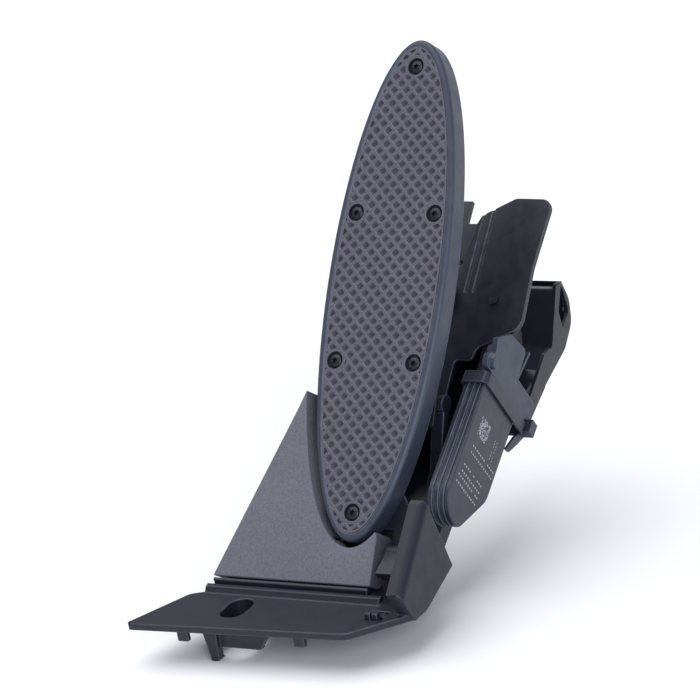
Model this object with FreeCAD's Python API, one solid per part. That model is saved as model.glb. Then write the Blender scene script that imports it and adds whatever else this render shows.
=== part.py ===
import FreeCAD, Part
import math
import os

# Floor-hinged electronic pedal module. Millimetres, +Z up, +Y away from the driver, +X to the right.
# The origin is on the underside of the floor flange, in the pedal's middle plane, level with the bolt slot.

V = FreeCAD.Vector

# ---- driving dimensions ------------------------------------------------------------------------
FLANGE_T = 3.5              # floor flange thickness
TREAD_LONG = 121.5          # half length of the oval tread
TREAD_SHORT = 32.0          # half width of the oval tread
TREAD_Y = 104.0             # centre of the tread face
TREAD_Z = 123.7
TREAD_ANGLE = 54.0          # slope of the resting tread
TRAVEL = 12.0               # pedal travel in degrees
BEZEL_T = 12.0              # depth of the tread's side wall
BEZEL_LIP = 3.7             # smooth lip around the tread pad
BEZEL_WALL = 2.5
BEZEL_ROUND = 2.0
PAD_T = 2.4                 # tread pad thickness
PAD_SEAT = 2.2              # depth of the pocket that holds the pad
SCREW_HEAD_R = 3.4          # tread screws
SCREW_WELL_R = 4.3
SCREW_SHANK_R = 2.0
SCREW_END_U = 108.0         # end screws, along the tread
SCREW_MID_U = 36.0          # middle screws, along the tread
SCREW_MID_X = 21.2          # middle screws, off the middle line
CARRIER_TOP = 5.2           # carrier plate below the tread face
CARRIER_T = 5.0             # carrier plate thickness
SPINE_BACK = 18.0           # back of the carrier's ribbed spine, below the tread face
RIB_T = 2.4
HINGE_U = -125.0            # pedal hinge, along the tread and behind its face
HINGE_N = -11.0
PIN_R = 3.0
PIN_FIT = 0.05              # running clearance of the pins
OUTER_COIL = 7.0            # mean coil and wire radii of the two return springs
OUTER_WIRE = 0.7
INNER_COIL = 4.9
INNER_WIRE = 0.5
OUTER_TURNS = 6
INNER_TURNS = 11
COIL_GAP = 0.25
BUSH_T = 1.0
KNUCKLE_R = 5.5
LEFT_KNUCKLE = (-31.0, -10.0)
RIGHT_KNUCKLE = (16.5, 34.0)
CHEEK_IN = 37.0             # right cheek, inner and outer faces
CHEEK_OUT = 45.0
LEFT_WALL = (-55.0, -50.0)  # left bearing wall
SPRING_SPACE = (-49.6, -33.4)   # between the left bearing wall and the left knuckle's washer
WASHER_GAP = 0.3
GUARD_T = 2.5
GUARD_Y = 137.5             # reference point on the guard plate's front face
GUARD_Z = 86.5
COVER_T = 2.5               # heel cover wall
COVER_DEPTH = 16.0
RECESS_GAP = 5.5            # side gap between the heel cover and the tread
RECESS_END = 3.0            # end gap
RECESS_DEPTH = BEZEL_T - 0.5    # depth of the recess wall; clears the carrier's arms
ROTOR_Y = 80.0              # sensor rotor axis
ROTOR_Z = 35.0
SENSOR_ANGLE = 33.0         # slope of the sensor unit
SENSOR_OUTLINE = [(50, -14, 2), (50, 20.5, 2), (-26, 20.5, 14), (-26, 1.8, 8), (-1, -14, 12)]
SENSOR_X0 = 34.0            # inner face of the sensor housing
SENSOR_X1 = 42.4            # rim of the sensor housing
SENSOR_WALL = 2.4
SEAL_T = 0.6
LID_T = 2.0
HUB_R = 5.5
HUB_X = (22.0, 28.2)        # lever hub
SHOE_R = 4.0
SHOE_U = -50.0              # slide shoe, along the tread at rest
SHOE_GAP = 0.4
DRIVE_PAD_T = 2.0
WALL_T = 2.5                # rear housing walls
HOUSING_X = (-8.0, 31.5)
HOOD_X = (10.0, 41.0)
HOOD_T = 2.2
SLOT_X = -46.5              # bolt slot
SLOT_W = 12.5
SLOT_L = 19.4
COLLAR_DEPTH = 11.0         # collar round the bolt slot, below the flange
DUST_WALL_TOP = 18.5        # wall behind the hinge
EPS = 0.1                   # overrun of a cut


# ---- frames ------------------------------------------------------------------------------------
def tilted(y, z, angle):
    """Frame whose own Y runs up a slope and whose own Z is the slope's outward normal."""
    return FreeCAD.Placement(V(0, y, z), FreeCAD.Rotation(V(1, 0, 0), angle))


TREAD = tilted(TREAD_Y, TREAD_Z, TREAD_ANGLE)
GUARD = tilted(GUARD_Y, GUARD_Z, TREAD_ANGLE - TRAVEL)
SENSOR = tilted(ROTOR_Y, ROTOR_Z, SENSOR_ANGLE)
HINGE = TREAD.multVec(V(0, HINGE_U, HINGE_N))


def placed(shape, frame):
    """Move a shape that is drawn in a tilted frame to its place."""
    result = shape.copy()
    result.Placement = frame.multiply(result.Placement)
    return result


# ---- outlines and solids -----------------------------------------------------------------------
def outline(corners, place):
    """Closed wire through (a, b) or (a, b, radius) corners; place turns (a, b) into a point."""
    count = len(corners)
    ends = []
    for i in range(count):
        here = V(corners[i][0], corners[i][1], 0)
        radius = corners[i][2] if len(corners[i]) > 2 else 0
        if radius == 0:
            ends.append((here, here, here))
            continue
        back = V(corners[i - 1][0], corners[i - 1][1], 0) - here
        ahead = V(corners[(i + 1) % count][0], corners[(i + 1) % count][1], 0) - here
        back.normalize()
        ahead.normalize()
        half = back.getAngle(ahead) / 2
        middle = back + ahead
        middle.normalize()
        tangent = radius / math.tan(half)
        arc_middle = here + middle * (radius / math.sin(half) - radius)
        ends.append((here + back * tangent, arc_middle, here + ahead * tangent))
    edges = []
    for i in range(count):
        first, middle, last = ends[i]
        if (last - first).Length > 1e-6:
            edges.append(Part.Arc(place(first), place(middle), place(last)).toShape())
        following = ends[(i + 1) % count][0]
        if (following - last).Length > 1e-6:
            edges.append(Part.LineSegment(place(last), place(following)).toShape())
    return Part.Wire(edges)


def prism_x(corners, x0, x1):
    """Solid with a (y, z) outline, from x0 to x1."""
    wire = outline(corners, lambda p: V(x0, p.x, p.y))
    return Part.Face(wire).extrude(V(x1 - x0, 0, 0))


def prism_z(corners, z0, z1):
    """Solid with an (x, y) outline, from z0 to z1."""
    wire = outline(corners, lambda p: V(p.x, p.y, z0))
    return Part.Face(wire).extrude(V(0, 0, z1 - z0))


def box(x, y, z):
    """Box from three (low, high) pairs."""
    return Part.makeBox(x[1] - x[0], y[1] - y[0], z[1] - z[0], V(x[0], y[0], z[0]))


def rod_x(y, z, radius, x0, x1):
    return Part.makeCylinder(radius, x1 - x0, V(x0, y, z), V(1, 0, 0))


def rod_z(x, y, radius, z0, z1):
    return Part.makeCylinder(radius, z1 - z0, V(x, y, z0), V(0, 0, 1))


def tube_x(y, z, outer, inner, x0, x1):
    return rod_x(y, z, outer, x0, x1).cut(rod_x(y, z, inner, x0 - EPS, x1 + EPS))


def oval(short, long, z0, z1):
    """Elliptic prism with its long axis along Y."""
    curve = Part.Ellipse(V(0, long, 0), V(short, 0, 0), V(0, 0, 0))
    face = Part.Face(Part.Wire([curve.toShape()]))
    face.translate(V(0, 0, z0))
    return face.extrude(V(0, 0, z1 - z0))


def joined(shapes):
    """One clean solid from overlapping pieces."""
    return shapes[0].multiFuse(shapes[1:]).removeSplitter()


def save(name, shape):
    """Write one node; loose solids that belong to it stay separate in its file."""
    solids = shape.Solids
    result = solids[0] if len(solids) == 1 else Part.makeCompound(solids)
    result.exportStep(os.path.join("parts", name + ".step"))


# ---- tread -------------------------------------------------------------------------------------
SCREW_PLACES = [(0, SCREW_END_U), (0, -SCREW_END_U)]
for side in (-1, 1):
    for end in (-1, 1):
        SCREW_PLACES.append((side * SCREW_MID_X, end * SCREW_MID_U))
SCREW_END = -(CARRIER_TOP + CARRIER_T - 0.4)


def tread_bezel():
    body = oval(TREAD_SHORT, TREAD_LONG, -BEZEL_T, 0)
    rim = [e for e in body.Edges if abs(e.BoundBox.ZMin) < 1e-6 and abs(e.BoundBox.ZMax) < 1e-6]
    body = body.makeFillet(BEZEL_ROUND, rim)
    body = body.cut(oval(TREAD_SHORT - BEZEL_LIP, TREAD_LONG - BEZEL_LIP, -PAD_SEAT, EPS))
    hollow = oval(TREAD_SHORT - BEZEL_WALL, TREAD_LONG - BEZEL_WALL, -BEZEL_T - EPS, -CARRIER_TOP)
    body = body.cut(hollow)
    for x, u in SCREW_PLACES:
        body = body.cut(rod_z(x, u, SCREW_SHANK_R, -BEZEL_T, EPS))
    return placed(body, TREAD)


def tread_pad():
    clear = 0.1
    pad = oval(TREAD_SHORT - BEZEL_LIP - clear, TREAD_LONG - BEZEL_LIP - clear, -PAD_SEAT, PAD_T - PAD_SEAT)
    for x, u in SCREW_PLACES:
        pad = pad.cut(rod_z(x, u, SCREW_WELL_R, -PAD_SEAT - EPS, PAD_T))
    return placed(pad, TREAD)


def tread_screws():
    screws = []
    for x, u in SCREW_PLACES:
        head = rod_z(x, u, SCREW_HEAD_R, -PAD_SEAT, -PAD_SEAT + 2.0)
        head = head.cut(rod_z(x, u, 1.3, -PAD_SEAT + 0.7, EPS))
        screws.append(head.fuse(rod_z(x, u, SCREW_SHANK_R, SCREW_END, -PAD_SEAT)))
    return placed(Part.makeCompound(screws), TREAD)


# ---- pedal carrier -----------------------------------------------------------------------------
SPINE = [(-13, -100), (13, -100), (19, -72), (24.5, -50), (25.5, 0), (19, 72), (-19, 72), (-25.5, 0),
         (-24.5, -50), (-19, -72)]
SPINE_RIBS = [-76, -50, -24, 2, 28, 50]
STOP_U = 15.0               # where the full-travel buffer meets the spine


def spine():
    back, front = -SPINE_BACK, -CARRIER_TOP - CARRIER_T
    body = prism_z(SPINE, back, front)
    shrink = FreeCAD.Matrix()
    shrink.scale(1 - RIB_T / 22, 1 - RIB_T / 86, 1)
    pocket = prism_z(SPINE, back - EPS, front).transformGeometry(shrink)
    for u in SPINE_RIBS:
        pocket = pocket.cut(box((-40, 40), (u - RIB_T / 2, u + RIB_T / 2), (-40, 0)))
    pocket = pocket.cut(box((-RIB_T / 2, RIB_T / 2), (-130, 130), (-40, 0)))
    pocket = pocket.cut(box((-9, 9), (STOP_U - 9, STOP_U + 9), (-40, 0)))
    pocket = pocket.cut(box((15, 40), (-64, -36), (-40, 0)))
    return body.cut(pocket)


def pedal_carrier():
    fit = 0.2
    top, low = -CARRIER_TOP - 0.05, -CARRIER_TOP - CARRIER_T
    plate = oval(TREAD_SHORT - BEZEL_WALL - fit, TREAD_LONG - BEZEL_WALL - fit, low, top)
    arm_back, arm_front = HINGE_N - KNUCKLE_R, -BEZEL_T - 0.3
    left_arm = prism_z([(-31, HINGE_U), (-10, HINGE_U), (-10, -112), (0, -100), (0, -96), (-13, -96),
                        (-31, -116)], arm_back, arm_front)
    right_arm = prism_z([(16.5, HINGE_U), (34, HINGE_U), (34, -117), (19, -96), (0, -96), (0, -104),
                         (9, -113), (16.5, -113)], arm_back, arm_front)
    link = prism_z([(-12.5, -104), (12.5, -104), (15, -90), (-15, -90)], arm_back, low + 0.5)
    lug = box((SPRING_SPACE[0] + 0.4, -18), (-112, -108), (HINGE_N - OUTER_COIL + OUTER_WIRE + 0.15, arm_front))
    pieces = [plate, spine(), left_arm, right_arm, link, lug]
    for x0, x1 in (LEFT_KNUCKLE, RIGHT_KNUCKLE):
        pieces.append(rod_x(HINGE_U, HINGE_N, KNUCKLE_R, x0, x1))
    body = joined(pieces)
    for x0, x1 in (LEFT_KNUCKLE, RIGHT_KNUCKLE):
        body = body.cut(rod_x(HINGE_U, HINGE_N, PIN_R + PIN_FIT + BUSH_T, x0 - EPS, x1 + EPS))
    for x, u in SCREW_PLACES:
        body = body.cut(rod_z(x, u, SCREW_SHANK_R, SCREW_END, 0))
    leg_x = spring_end(INNER_WIRE, INNER_TURNS, SPRING_SPACE[0] + 0.5)
    leg_hole = Part.makeCylinder(INNER_WIRE + 0.1, 20, V(leg_x, HINGE_U, HINGE_N - INNER_COIL), V(0, 1, 0))
    body = placed(body.cut(leg_hole), TREAD)
    y, z = HINGE.y, HINGE.z
    toe = prism_x([(y - 3, z - 5.2), (y - 16, z - 4.2), (y - 17, z - 1), (y - 5, z + 4)], 18, 32)
    toe = toe.cut(rod_x(y, z, PIN_R + PIN_FIT + BUSH_T, 10, 40))
    return body.fuse(toe).removeSplitter()


def hinge_bushes():
    bushes = []
    for x0, x1 in (LEFT_KNUCKLE, RIGHT_KNUCKLE):
        bushes.append(tube_x(HINGE.y, HINGE.z, PIN_R + PIN_FIT + BUSH_T, PIN_R + PIN_FIT, x0, x1))
    return Part.makeCompound(bushes)


def drive_pad():
    return placed(box((16, 26), (-62, -38), (-SPINE_BACK - DRIVE_PAD_T, -SPINE_BACK)), TREAD)


# ---- hinge pins and what holds them ------------------------------------------------------------
LEFT_PIN = (LEFT_WALL[0] - 3.0, LEFT_KNUCKLE[1])
RIGHT_PIN = (RIGHT_KNUCKLE[0] + 0.4, CHEEK_OUT - 3.0)


def hinge_pin_left():
    pin = rod_x(HINGE.y, HINGE.z, PIN_R, *LEFT_PIN)
    groove = tube_x(HINGE.y, HINGE.z, PIN_R + 1, PIN_R - 0.6, LEFT_WALL[0] - 1.6, LEFT_WALL[0] - 0.6)
    return pin.cut(groove)


def hinge_pin_right():
    return rod_x(HINGE.y, HINGE.z, PIN_R, *RIGHT_PIN)


def pin_clip():
    ring = tube_x(HINGE.y, HINGE.z, PIN_R + 2.4, PIN_R - 0.6, LEFT_WALL[0] - 1.5, LEFT_WALL[0] - 0.7)
    mouth = box((-60, 0), (HINGE.y - 1.6, HINGE.y + 1.6), (HINGE.z - 9, HINGE.z))
    return ring.cut(mouth)


def thrust_washers():
    left = tube_x(HINGE.y, HINGE.z, 5.4, PIN_R + PIN_FIT, SPRING_SPACE[1] + 0.2, LEFT_KNUCKLE[0] - WASHER_GAP)
    right = tube_x(HINGE.y, HINGE.z, 5.4, PIN_R + PIN_FIT, RIGHT_KNUCKLE[1] + WASHER_GAP, CHEEK_IN)
    return Part.makeCompound([left, right])


# ---- return springs ----------------------------------------------------------------------------
def spring_end(wire_radius, turns, x0):
    """X of the last coil's wire centre."""
    return x0 + wire_radius + (turns + TREAD_ANGLE / 360) * (2 * wire_radius + COIL_GAP)


def torsion_spring(mean_radius, wire_radius, turns, x0, floor_length, tread_length):
    """Coil about the hinge: one leg lies forward along the floor, the other runs up behind the carrier."""
    overlap = 0.4
    first, last = x0 + wire_radius, spring_end(wire_radius, turns, x0)
    pitch = 2 * wire_radius + COIL_GAP
    helix = Part.makeHelix(pitch, last - first, mean_radius)
    section = Part.Wire([Part.makeCircle(wire_radius, V(mean_radius, 0, 0), V(0, 1, 0))])
    coil = Part.Wire(helix).makePipeShell([section], True, True)
    onto_x = FreeCAD.Rotation(V(0, 0, 1), V(1, 0, 0))
    coil.Placement = FreeCAD.Placement(V(first, HINGE.y, HINGE.z), onto_x)
    down = V(first, HINGE.y + overlap, HINGE.z - mean_radius)
    floor_leg = Part.makeCylinder(wire_radius, floor_length, down, V(0, -1, 0))
    back = V(last, HINGE_U - overlap, HINGE_N - mean_radius)
    tread_leg = placed(Part.makeCylinder(wire_radius, tread_length, back, V(0, 1, 0)), TREAD)
    return joined([coil, floor_leg, tread_leg])


def return_spring_outer():
    return torsion_spring(OUTER_COIL, OUTER_WIRE, OUTER_TURNS, SPRING_SPACE[0] + 2.3, 11, 17)


def return_spring_inner():
    return torsion_spring(INNER_COIL, INNER_WIRE, INNER_TURNS, SPRING_SPACE[0] + 0.5, 11, 17)


# ---- base frame --------------------------------------------------------------------------------
FLANGE = [(-95, -23.5, 2), (21, -16.8, 9), (44.6, 8.4, 2), (CHEEK_OUT, 17), (39, 24, 4), (33, 58, 6), (-30, 58, 6),
          (-64, 40, 8), (-72, 14, 2), (-79, 10.5, 4)]
CHEEK = [(7.5, 0), (19, 0, 6), (47.2, 8.9, 1), (34.5, 48), (31.5, 47), (-1.5, 17)]
CHEEK_ROUND = 5.0           # rounded front corner of the cheek


def underside_fittings():
    """Two locating tabs, the collar round the slot and the tapered locating peg."""
    tabs = [box((-68.5, -62.5), (-20.4, -18), (-5.2, 0)), box((-7.5, -1.5), (-16.6, -14.2), (-5.2, 0))]
    front = outline([(-55.5, 0), (-21, 0), (-29, -COLLAR_DEPTH, 1), (-55.5, -COLLAR_DEPTH, 1)],
                    lambda p: V(p.x, -12.4, p.y))
    collar = Part.Face(front).extrude(V(0, 24.8, 0))
    collar = collar.cut(box((-37.8, -23.5), (-9.9, 9.9), (-COLLAR_DEPTH - EPS, -1.5)))
    collar = collar.cut(box((-60, -10), (9.9, 13), (-COLLAR_DEPTH - EPS, -8)))
    peg = outline([(-58.5, 0), (-50.3, 0), (-51.5, -17.3, 1), (-55.6, -17.3, 1)], lambda p: V(p.x, -15, p.y))
    return tabs + [collar, Part.Face(peg).extrude(V(0, 4.5, 0))]


def slot_cutter():
    half = SLOT_W / 2
    end = (SLOT_L - SLOT_W) / 2
    middle = box((SLOT_X - half, SLOT_X + half), (-end, end), (-14, 12))
    return middle.multiFuse([rod_z(SLOT_X, -end, half, -14, 12), rod_z(SLOT_X, end, half, -14, 12)])


def base_frame():
    flange = prism_z(FLANGE, 0, FLANGE_T)
    cheek = prism_x(CHEEK, CHEEK_IN, CHEEK_OUT)
    side = [e for e in cheek.Edges if e.BoundBox.XMin > CHEEK_OUT - 1e-3]
    front = max(side, key=lambda e: e.BoundBox.ZMax - e.BoundBox.YMax + e.Length)
    cheek = cheek.makeFillet(CHEEK_ROUND, [front])
    bearing = prism_x([(34, FLANGE_T), (50, FLANGE_T), (46, 21.5, 4), (34, 21, 3)], *LEFT_WALL)
    ridge = prism_x([(12.5, FLANGE_T), (18.5, FLANGE_T), (17.2, 6.3, 0.8), (14.4, 6.3, 0.8)], -72, 23)
    front_wall = prism_x([(18.9, FLANGE_T), (26.4, FLANGE_T), (20.0, 8.1, 0.5), (18.9, 7.7, 0.5)], -70, 14)
    tie_wall = box((-30, 31.5), (52.5, 55.5), (FLANGE_T, 5.2))
    dust_wall = box((-33, HOUSING_X[0] - WASHER_GAP), (53, 55.5), (FLANGE_T, DUST_WALL_TOP))
    spring_post = box((SPRING_SPACE[0], SPRING_SPACE[1]), (32.5, 36.5),
                      (FLANGE_T, HINGE.z - OUTER_COIL - OUTER_WIRE - 0.1))
    walls = [bearing, ridge, front_wall, tie_wall, dust_wall, spring_post]
    body = joined([flange, cheek] + walls + underside_fittings())
    body = body.cut(slot_cutter())
    body = body.cut(box((22.5, 32), (-1.5, 7.5), (-1, 6)))
    for x0, x1 in (LEFT_PIN, RIGHT_PIN):
        body = body.cut(rod_x(HINGE.y, HINGE.z, PIN_R, x0, x1))
    for x, y in HOUSING_FIXINGS:
        body = body.cut(rod_z(x, y, 2.1, -EPS, FLANGE_T + 12))
        body = body.cut(rod_z(x, y, 3.8, -EPS, 1.7))
    return body


def flange_clip():
    hook = prism_x([(-1.1, 0.2), (7.1, 0.2), (7.1, 3), (3, 3), (2, 6.2, 0.6), (-0.5, 6.2, 0.6)], 23, 25.8)
    return hook.multiFuse([hook.translated(V(3.8, 0, 0)), box((23, 31.5), (4, 7.1), (0.2, 2.6))])


def rest_stop_buffer():
    y, z = HINGE.y, HINGE.z
    return prism_x([(y - 16, FLANGE_T), (y - 7, FLANGE_T), (y - 8, z - 5.4, 1), (y - 15, z - 4.9, 1)], 20, 30)


# ---- heel cover --------------------------------------------------------------------------------
COVER = [(-71, -142), (14.8, -142), (14.8, -118.5), (0, -90), (-20, -50), (-34, -50), (-37.6, -59.8)]


def heel_cover():
    d = COVER_T
    inner = [(-71 + d * 1.6, -142 + d), (14.8 - d, -142 + d), (14.8 - d, -118.5), (0, -88), (-21, -52.5),
             (-32.3, -52.5), (-35.2, -60.4)]
    body = prism_z(COVER, -COVER_DEPTH, 0)
    body = body.cut(prism_z(inner, -COVER_DEPTH - EPS, -COVER_T))
    recess_short = TREAD_SHORT + RECESS_GAP
    recess_long = TREAD_LONG + RECESS_END
    ring = oval(recess_short + 2, recess_long + 2, -RECESS_DEPTH, 0).common(prism_z(COVER, -COVER_DEPTH, 0))
    knuckle_room = box((LEFT_KNUCKLE[0] - 0.5, LEFT_KNUCKLE[1] + 0.5), (-132, -118.8), (-20, -5))
    body = body.fuse(ring.cut(knuckle_room))
    body = body.cut(oval(recess_short, recess_long, -COVER_DEPTH - 1, 1)).removeSplitter()
    body = placed(body, TREAD)
    above_floor = box((-100, 60), (-40, 120), (FLANGE_T + 0.05, 120))
    return body.common(above_floor)


# ---- rear housing ------------------------------------------------------------------------------
HOUSING_FIXINGS = [(-2.0, 54.0), (26.0, 54.0)]
BELLY = [(48.5, FLANGE_T + 1.8), (60, FLANGE_T + 1.8), (67, 10), (76, 15.5), (98, 24), (138, 40), (166, 52)]


def guard_point(u, n):
    point = GUARD.multVec(V(0, u, n))
    return (point.y, point.z)


def rear_housing():
    under = -GUARD_T - 0.1
    side = BELLY + [guard_point(32, under - 14), guard_point(32, under), guard_point(-116, under)]
    outer = prism_x(side, *HOUSING_X)
    x0, x1 = HOUSING_X[0] + WALL_T, HOUSING_X[1] - WALL_T
    floor_line = [(y - 1.0, z + WALL_T) for y, z in BELLY]
    back = [(BELLY[-1][0] - WALL_T, BELLY[-1][1] + WALL_T), guard_point(32 - WALL_T, under - 14), guard_point(29, 10)]
    inner = prism_x(floor_line[1:-1] + back + [(30, 60), (40, FLANGE_T + WALL_T + 4)], x0, x1)
    body = outer.cut(inner)
    mouth = box((SHROUD_X[0] - 0.2, SHROUD_X[1] + 0.2), (10, 60), (SHROUD_N[0] - 0.2, SHROUD_N[1] + 0.2))
    body = body.cut(placed(mouth, GUARD))
    bush_seat = rod_x(ROTOR_Y, ROTOR_Z, BUSH_SEAT_R + 2, HOUSING_X[1] - WALL_T, HOUSING_X[1])
    body = body.fuse(bush_seat)
    body = body.cut(rod_x(ROTOR_Y, ROTOR_Z, BUSH_SEAT_R, 20, 40))
    for x, y in HOUSING_FIXINGS:
        body = body.cut(rod_z(x, y, 1.6, 0, FLANGE_T + 12))
    for x, u in GUARD_FIXINGS:
        hole = placed(rod_z(x, u, 1.2, -GUARD_T - 9, 0), GUARD)
        body = body.cut(hole)
    return body.removeSplitter()


def housing_screws():
    screws = []
    for x, y in HOUSING_FIXINGS:
        head = rod_z(x, y, 3.4, 0.1, 1.7)
        screws.append(head.fuse(rod_z(x, y, 1.6, 1.7, FLANGE_T + 1.8 + WALL_T)))
    return Part.makeCompound(screws)


# ---- guard plate -------------------------------------------------------------------------------
GUARD_OUTLINE = [(-28, 58.8, 4), (-1.0, 58.8), (-1.0, 71), (5, 71), (5, 58.8), (10.3, 58.8),
                 (12.2, 63.5, 2), (28.5, 72.8, 5), (48.7, 72.5, 6), (46.7, 36, 30), (48.2, 4, 8), (27, -7.5, 5),
                 (26, -14, 2), (17, -14, 2), (17, -50, 3), (-28, -50, 6)]
GUARD_FIXINGS = [(-6.75, 44.0), (-6.75, -34.0), (30.25, 18.0)]
DIMPLE_DEPTH = 1.5


def guard_plate():
    plate = prism_z(GUARD_OUTLINE, -GUARD_T, 0)
    for x in (13.2, 17.8):
        plate = plate.cut(box((x - 0.7, x + 0.7), (22, 90), (-0.6, EPS)))
    plate = plate.cut(rod_z(6.7, 37.6, 1.2, -DIMPLE_DEPTH, 10))
    for x, u in GUARD_FIXINGS:
        plate = plate.cut(rod_z(x, u, 1.2, -10, 10))
    return placed(plate, GUARD)


def guard_screws():
    screws = []
    for x, u in GUARD_FIXINGS:
        head = rod_z(x, u, 2.6, 0, 1.5)
        screws.append(head.fuse(rod_z(x, u, 1.2, -GUARD_T - 8, 0)))
    return placed(Part.makeCompound(screws), GUARD)


def full_travel_buffer():
    place = TREAD_ANGLE - TRAVEL
    turned = FreeCAD.Rotation(V(1, 0, 0), place)
    reach = turned.inverted().multVec(V(0, GUARD_Y - HINGE.y, GUARD_Z - HINGE.z))
    gap = -reach.z - (SPINE_BACK + HINGE_N)
    u = STOP_U - HINGE_U - reach.y
    return placed(rod_z(0, u, 7, 0, gap - 0.3).fuse(rod_z(0, u, 8.5, 0, 1.5)), GUARD)


# ---- sensor unit -------------------------------------------------------------------------------
BUSH_SEAT_R = PIN_R + PIN_FIT + 2.0


def sensor_outline(inset):
    """Outline in the sensor's own frame: a rounded lower end about the rotor, flat at the upper end."""
    edge = Part.Face(outline(SENSOR_OUTLINE, lambda p: V(0, p.x, p.y)))
    if inset == 0:
        return edge
    return Part.Face(edge.makeOffset2D(-inset).Wires[0])


def sensor_slab(inset, x0, x1):
    face = sensor_outline(inset)
    face.translate(V(x0, 0, 0))
    return face.extrude(V(x1 - x0, 0, 0))


LID_FIXINGS = [(43.0, 14.5), (43.0, -8.5), (-17.5, 10.0)]


def sensor_housing():
    body = sensor_slab(0, SENSOR_X0, SENSOR_X1)
    body = body.cut(sensor_slab(SENSOR_WALL, SENSOR_X0 + 1.2, SENSOR_X1 + EPS))
    for x in (36.2, 39.4):
        body = body.cut(sensor_slab(-1, x, x + 1.4).cut(sensor_slab(1.2, x - EPS, x + 1.5)))
    for s, t in LID_FIXINGS:
        body = body.fuse(rod_x(s, t, 2.8, SENSOR_X0 + 1.2, SENSOR_X1))
        body = body.cut(rod_x(s, t, 1.0, SENSOR_X0 + 2, SENSOR_X1 + EPS))
    body = body.cut(rod_x(0, 0, BUSH_SEAT_R, 20, 36))
    spacers = [rod_x(s, t, 3.2, HOUSING_X[1], SENSOR_X0) for s, t in ((28.0, 4.0), (12.0, -6.0))]
    body = joined([body] + spacers)
    return placed(body, SENSOR)


def sensor_seal():
    x0 = SENSOR_X1
    ring = sensor_slab(0.3, x0, x0 + SEAL_T).cut(sensor_slab(2.0, x0 - EPS, x0 + SEAL_T + EPS))
    return placed(ring, SENSOR)


def sensor_lid():
    x0 = SENSOR_X1 + SEAL_T
    lid = sensor_slab(0, x0, x0 + LID_T)
    rim = [e for e in lid.Edges if e.BoundBox.XMin > x0 + LID_T - 1e-3]
    lid = lid.makeFillet(0.8, rim)
    return placed(lid, SENSOR)


def circuit_board():
    board = sensor_slab(SENSOR_WALL + 0.6, 40.4, 41.8)
    for s, t in LID_FIXINGS:
        board = board.cut(rod_x(s, t, 3.1, 39, 43))
    return placed(board, SENSOR)


def sensor_chips():
    chips = [box((41.8, 42.6), (-3, 3), (-2.5, 2.5)), box((41.8, 42.6), (14, 22), (-4, 4)),
             box((41.8, 42.4), (28, 31), (-8, -5)), box((41.8, 42.4), (28, 31), (4, 7))]
    return placed(Part.makeCompound(chips), SENSOR)


def rotor_shaft():
    return rod_x(ROTOR_Y, ROTOR_Z, PIN_R, HUB_X[0], 36.0)


def rotor_bush():
    return tube_x(ROTOR_Y, ROTOR_Z, BUSH_SEAT_R, PIN_R + PIN_FIT, HUB_X[1] + 0.4, 35.2)


def rotor_cup():
    cup = rod_x(ROTOR_Y, ROTOR_Z, 7.5, 35.6, 38.6)
    cup = cup.cut(rod_x(ROTOR_Y, ROTOR_Z, 5.5, 37.0, 39))
    return cup.cut(rod_x(ROTOR_Y, ROTOR_Z, PIN_R, 35, 36.0))


def rotor_magnet():
    return rod_x(ROTOR_Y, ROTOR_Z, 5.5, 37.0, 39.6)


# ---- drive lever -------------------------------------------------------------------------------
def shoe_centre():
    """Centre of the slide shoe at rest, in the module's frame."""
    return TREAD.multVec(V(0, SHOE_U, -SPINE_BACK - DRIVE_PAD_T - SHOE_GAP - SHOE_R))


def rotor_lever():
    tip = shoe_centre()
    hub = V(0, ROTOR_Y, ROTOR_Z)
    along = tip - hub
    length = along.Length
    angle = math.degrees(math.atan2(along.z, along.y))
    arm = prism_x([(0, -3.6), (length, -2.2, 1.5), (length, 2.2, 1.5), (0, 3.6)], *HUB_X)
    window = prism_x([(9, -1.6), (length - 8, -0.9), (length - 8, 0.9), (9, 1.6)], HUB_X[0] - EPS, HUB_X[0] + 2)
    arm = placed(arm.cut(window), tilted(ROTOR_Y, ROTOR_Z, angle))
    hub_body = rod_x(ROTOR_Y, ROTOR_Z, HUB_R, *HUB_X)
    body = joined([arm, hub_body])
    body = body.cut(rod_x(ROTOR_Y, ROTOR_Z, PIN_R, HUB_X[0] - 1, HUB_X[1] + 1))
    body = body.cut(rod_x(tip.y, tip.z, SHOE_R + 0.6, HUB_X[0] - 4, HUB_X[1] + 1))
    return body.fuse(rod_x(tip.y, tip.z, 2.0, 19.0, HUB_X[1])).fuse(
        rod_x(tip.y, tip.z, SHOE_R + 0.6, HUB_X[1] - 2.2, HUB_X[1])).removeSplitter()


def slide_shoe():
    tip = shoe_centre()
    return tube_x(tip.y, tip.z, SHOE_R, 2.0, 18.5, HUB_X[1] - 2.3)


# ---- bracket, tie, hood and connector ----------------------------------------------------------
BRACKET = [(50.6, 14.6, 1), (50.2, -22.6), (53.0, -23.4), (54.2, -27, 1), (62.8, -27.5, 3), (62.8, -6.2),
           (79.6, -8.8), (79.8, -7.6), (64.2, -5.4), (78.2, -4.5, 2), (78.0, -1, 2), (76, 13, 2),
           (67.7, 22.3, 1), (60, 19.5, 2), (57.6, 25.6, 3), (51, 24.4, 3)]


def side_bracket():
    plate = prism_x(BRACKET, 41.6, 44.6)
    posts = [rod_x(56.5, 4, 3, HOUSING_X[1], 42), rod_x(58.5, -16, 3, HOUSING_X[1], 42)]
    boss = rod_x(53.9, 20.6, 2.6, 44, 47.2)
    return placed(joined([plate, boss] + posts), SENSOR)


TIE_S = (42.4, 48.6)


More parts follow.
